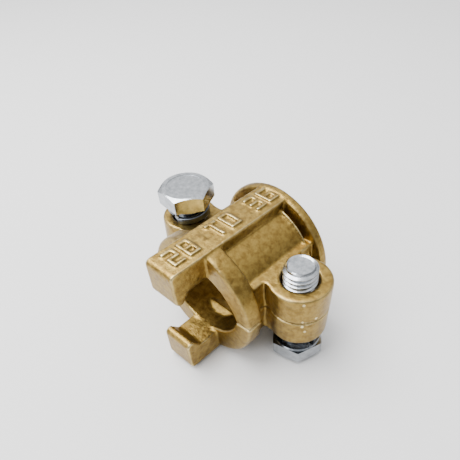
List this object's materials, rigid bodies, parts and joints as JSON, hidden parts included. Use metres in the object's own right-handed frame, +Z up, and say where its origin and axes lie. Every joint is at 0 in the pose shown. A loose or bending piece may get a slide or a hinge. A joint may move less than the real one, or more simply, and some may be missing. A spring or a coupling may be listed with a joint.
{
  "type": "two-bolt hose clamp",
  "caption": "Cast brass two-piece hose clamp with a gripping claw on each half, drawn together by two hex bolts with split lock washers.",
  "frame": {"origin": "on the hose axis, in the parting plane between the two halves, midway between the two bolts", "axes": "+X along the hose axis from the claws to the hose end, +Z up along the bolts, Y from bolt to bolt"},
  "size_m": [0.0554, 0.0768, 0.0488],
  "materials": {
    "cast_brass": "cast in sand and tumbled, satin",
    "zinc_steel": "bright zinc plate",
    "washer_steel": "plain zinc plate, darker"
  },
  "bodies": {
    "lower_shell": {"lower_half_shell": "cast_brass"},
    "upper_shell": {"upper_half_shell": "cast_brass"},
    "left_bolt": {"left_hex_bolt": "zinc_steel", "left_lock_washer": "washer_steel"},
    "right_bolt": {"right_hex_bolt": "zinc_steel", "right_lock_washer": "washer_steel"}
  },
  "joints": [
    {"name": "clamp_open", "type": "slide", "parent": "lower_shell", "child": "upper_shell", "axis": [0, 0, 1], "range_m": [0, 0.0077]},
    {"name": "left_bolt_turn", "type": "hinge", "parent": "upper_shell", "child": "left_bolt", "pos_m": [0, 0.0272, 0], "axis": [0, 0, 1], "range_deg": [0, 1585]},
    {"name": "right_bolt_turn", "type": "hinge", "parent": "lower_shell", "child": "right_bolt", "pos_m": [0, -0.0272, 0], "axis": [0, 0, 1], "range_deg": [-1585, 0]}
  ],
  "couplings": [
    {"joint": "left_bolt_turn", "follows": "clamp_open", "rad_per_m": 3590.4},
    {"joint": "right_bolt_turn", "follows": "clamp_open", "rad_per_m": -3590.4}
  ]
}
